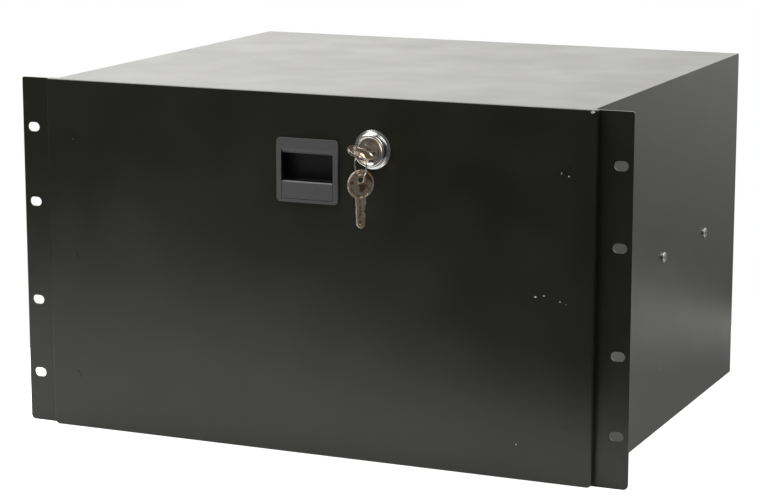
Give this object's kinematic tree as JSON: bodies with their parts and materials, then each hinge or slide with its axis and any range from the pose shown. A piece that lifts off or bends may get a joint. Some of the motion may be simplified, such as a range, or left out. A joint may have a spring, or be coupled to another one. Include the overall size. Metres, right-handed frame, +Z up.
{
  "type": "sliding rack drawer",
  "caption": "Lockable sliding drawer for a 19-inch rack: steel case with slotted ears, full-extension ball slides, push latch and keyed cam lock.",
  "frame": {"origin": "centre of the rack slot pattern, on the rear face of the ears where they meet the rack's rails", "axes": "+X to the right seen from the front, +Y into the rack (the drawer opens towards -Y), +Z up"},
  "size_m": [0.4826, 0.4047, 0.2665],
  "materials": {
    "black_paint": "semi-gloss powder coat",
    "slide_steel": "bright zinc plate",
    "bearing_steel": "polished",
    "zinc": "bright zinc plate",
    "grey_plastic": "fine moulded grain",
    "black_rubber": "matt",
    "chrome": "polished",
    "nickel": "nickel plate"
  },
  "bodies": {
    "case": {"case_top": "black_paint", "case_base": "black_paint", "case_side_left": "black_paint", "case_side_right": "black_paint", "case_back": "black_paint", "latch_strike": "zinc", "strike_screws": "zinc", "slide_outer_left": "slide_steel", "slide_outer_right": "slide_steel", "case_screws_left": "zinc", "case_screws_right": "zinc"},
    "drawer": {"drawer_front": "black_paint", "drawer_tray": "black_paint", "drawer_back": "black_paint", "front_rivets": "black_paint", "drawer_buffers": "black_rubber", "slide_inner_left": "slide_steel", "slide_inner_right": "slide_steel", "drawer_screws_left": "zinc", "drawer_screws_right": "zinc", "latch_housing": "grey_plastic", "latch_pin": "zinc", "latch_bracket": "zinc", "bracket_screws": "zinc", "lock_body": "chrome", "lock_washer": "zinc", "lock_nut": "zinc"},
    "slide_members": {"slide_mid_left": "slide_steel", "slide_mid_right": "slide_steel"},
    "outer_cages": {"ball_cage_outer_left": "bearing_steel", "ball_cage_outer_right": "bearing_steel"},
    "inner_cages": {"ball_cage_inner_left": "bearing_steel", "ball_cage_inner_right": "bearing_steel"},
    "paddle": {"latch_paddle": "grey_plastic"},
    "bolt": {"latch_bolt": "zinc", "bolt_spring": "zinc"},
    "lock_rotor": {"lock_plug": "chrome", "lock_cam": "zinc", "cam_screw": "zinc", "key": "nickel"},
    "ring": {"key_ring": "nickel"},
    "spare": {"spare_key": "nickel"}
  },
  "joints": [
    {"name": "drawer_slide", "type": "slide", "parent": "case", "child": "drawer", "axis": [0, -1, 0], "range_m": [0, 0.34]},
    {"name": "member_slide", "type": "slide", "parent": "case", "child": "slide_members", "axis": [0, -1, 0], "range_m": [0, 0.17]},
    {"name": "outer_cage_slide", "type": "slide", "parent": "case", "child": "outer_cages", "axis": [0, -1, 0], "range_m": [0, 0.085]},
    {"name": "inner_cage_slide", "type": "slide", "parent": "case", "child": "inner_cages", "axis": [0, -1, 0], "range_m": [0, 0.255]},
    {"name": "paddle_hinge", "type": "hinge", "parent": "drawer", "child": "paddle", "pos_m": [-0.0007, -0.0052, 0.0594], "axis": [-1, 0, 0], "range_deg": [0, 20]},
    {"name": "bolt_slide", "type": "slide", "parent": "drawer", "child": "bolt", "axis": [0, 0, -1], "range_m": [0, 0.00335], "stiffness_N_per_m": 1200, "deforming": ["bolt_spring"]},
    {"name": "lock_turn", "type": "hinge", "parent": "drawer", "child": "lock_rotor", "pos_m": [0.0505, 0, 0.0963], "axis": [0, 1, 0], "range_deg": [-25, 65]},
    {"name": "key_ring_swing", "type": "hinge", "parent": "lock_rotor", "child": "ring", "pos_m": [0.05443, -0.03545, 0.09447], "axis": [0.809, -0.5878, 0], "range_deg": [-10, 10]},
    {"name": "spare_key_swing", "type": "hinge", "parent": "ring", "child": "spare", "pos_m": [0.05277, -0.03425, 0.08085], "axis": [0.809, -0.5878, 0], "range_deg": [-30, 30]}
  ],
  "couplings": [
    {"joint": "member_slide", "follows": "drawer_slide", "ratio": 0.5},
    {"joint": "outer_cage_slide", "follows": "drawer_slide", "ratio": 0.25},
    {"joint": "inner_cage_slide", "follows": "drawer_slide", "ratio": 0.75},
    {"joint": "paddle_hinge", "follows": "bolt_slide", "rad_per_m": 104.17}
  ]
}
